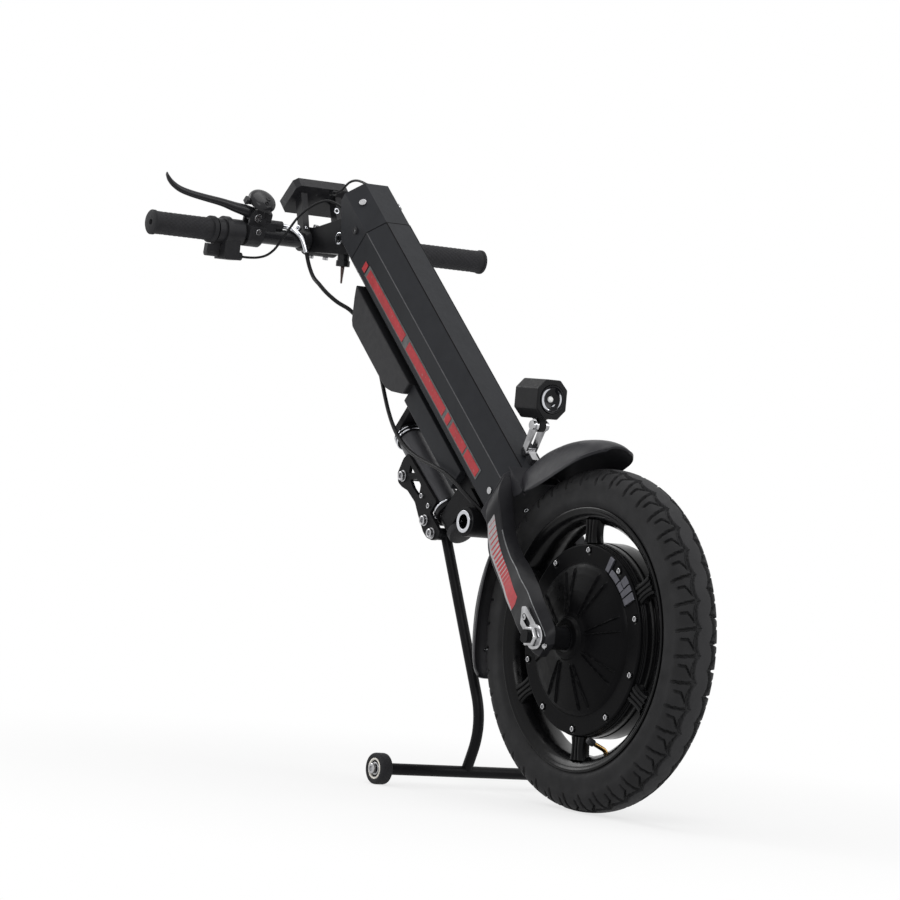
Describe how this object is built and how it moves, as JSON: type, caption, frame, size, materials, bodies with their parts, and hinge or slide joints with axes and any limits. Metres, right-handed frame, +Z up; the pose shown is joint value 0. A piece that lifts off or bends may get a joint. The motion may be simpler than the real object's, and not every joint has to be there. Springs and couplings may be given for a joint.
{
  "type": "wheelchair power assist",
  "caption": "Clip-on electric front drive for a manual wheelchair: fork with hub-motor wheel, slanted battery column with handlebar, steering head with dock plates, folding roller stand.",
  "frame": {"origin": "on the floor under the wheel's axle, in the mid plane", "axes": "+X across to the rider's left, -Y the driving direction, +Z up"},
  "size_m": [0.542, 0.9707, 0.7829],
  "materials": {
    "tyre": "matte",
    "cast_black": "satin",
    "frame_black": "satin",
    "plastic_black": "matte",
    "gloss_black": "gloss",
    "guard_black": "satin",
    "rubber": "matte",
    "steel": "satin",
    "chrome": "polished",
    "brass": "satin",
    "steel_black": "satin",
    "magnet": "satin",
    "stator": "matte",
    "battery": "gloss",
    "strip_grey": "satin",
    "strip_red": "gloss",
    "screen": "gloss",
    "lens": "gloss",
    "button_grey": "matte",
    "cable": "satin"
  },
  "bodies": {
    "dock": {"head_tube": "frame_black", "headset_cups": "chrome", "headset_bearings": "steel", "dock_plates": "steel_black", "dock_spacers": "steel_black", "dock_bolts": "steel"},
    "column": {"axle": "steel", "axle_hardware": "chrome", "stator": "stator", "fork_crown": "frame_black", "fork_right": "frame_black", "fork_left": "frame_black", "mudguard_front": "guard_black", "mudguard_rear": "guard_black", "column_tube": "frame_black", "column_cap": "frame_black", "column_screws": "steel", "battery_pack": "battery", "strip_bases": "strip_grey", "strip_reds": "strip_red", "rear_spine": "frame_black", "controller_box": "plastic_black", "upper_lug": "frame_black", "lower_lug": "frame_black", "cross_bushes": "chrome", "steer_spindle": "steel", "handlebar": "frame_black", "grips": "rubber", "stem": "frame_black", "bar_hardware": "steel", "throttle_housing": "plastic_black", "brake_perch": "frame_black", "bell_dome": "gloss_black", "display_case": "plastic_black", "display_glass": "screen", "key_switch": "plastic_black", "lamp_bracket": "chrome", "brake_calliper": "cast_black", "brake_noodle": "chrome", "brake_cable": "cable", "control_wires": "cable"},
    "wheel": {"tyre": "tyre", "wheel_casting": "cast_black", "valve": "brass", "motor_cover": "cast_black", "wheel_screws": "steel", "magnet_ring": "magnet", "hub_bearings": "steel", "brake_disc": "steel"},
    "brake_lever": {"brake_lever": "frame_black"},
    "throttle_paddle": {"throttle_paddle": "plastic_black"},
    "bell_striker": {"bell_striker": "plastic_black"},
    "ignition_key": {"ignition_key": "steel"},
    "headlamp": {"lamp_housing": "plastic_black", "lamp_lens": "lens"},
    "stand": {"stand_frame": "steel_black"},
    "roller_right": {"roller_right": "rubber"},
    "roller_left": {"roller_left": "rubber"},
    "button_left": {"button_left": "button_grey"},
    "button_right": {"button_right": "button_grey"}
  },
  "joints": [
    {"name": "steering", "type": "hinge", "parent": "dock", "child": "column", "pos_m": [0, 0.39743, 0.39556], "axis": [0, 0.7581, 0.6521], "range_deg": [-35, 35]},
    {"name": "wheel_spin", "type": "hinge", "parent": "column", "child": "wheel", "pos_m": [0, 0, 0.212], "axis": [1, 0, 0], "continuous": true},
    {"name": "brake_pull", "type": "hinge", "parent": "column", "child": "brake_lever", "pos_m": [-0.114, 0.70453, 0.71915], "axis": [0, -0.9659, -0.2588], "range_deg": [0, 12], "stiffness_Nm_per_rad": 1.5},
    {"name": "throttle_turn", "type": "hinge", "parent": "column", "child": "throttle_paddle", "pos_m": [-0.165, 0.711, 0.695], "axis": [-1, 0, 0], "range_deg": [0, 35], "stiffness_Nm_per_rad": 0.2},
    {"name": "bell_flick", "type": "hinge", "parent": "column", "child": "bell_striker", "pos_m": [-0.095, 0.69935, 0.73847], "axis": [0, 0.7071, -0.7071], "range_deg": [0, 20], "stiffness_Nm_per_rad": 0.03},
    {"name": "key_turn", "type": "hinge", "parent": "column", "child": "ignition_key", "pos_m": [-0.013, 0.63, 0.66], "axis": [0, 0, 1], "range_deg": [0, 90]},
    {"name": "lamp_tilt", "type": "hinge", "parent": "column", "child": "headlamp", "pos_m": [0, 0.165, 0.47], "axis": [1, 0, 0], "range_deg": [-15, 15]},
    {"name": "stand_fold", "type": "hinge", "parent": "dock", "child": "stand", "pos_m": [0, 0.34842, 0.31911], "axis": [1, 0, 0], "range_deg": [0, 80]},
    {"name": "roller_right_spin", "type": "hinge", "parent": "stand", "child": "roller_right", "pos_m": [-0.134, 0.255, 0.02], "axis": [1, 0, 0], "continuous": true},
    {"name": "roller_left_spin", "type": "hinge", "parent": "stand", "child": "roller_left", "pos_m": [0.134, 0.255, 0.02], "axis": [1, 0, 0], "continuous": true},
    {"name": "button_left_press", "type": "slide", "parent": "column", "child": "button_left", "axis": [0, -0.7071, -0.7071], "range_m": [0, 0.001], "stiffness_N_per_m": 300},
    {"name": "button_right_press", "type": "slide", "parent": "column", "child": "button_right", "axis": [0, -0.7071, -0.7071], "range_m": [0, 0.001], "stiffness_N_per_m": 300}
  ]
}
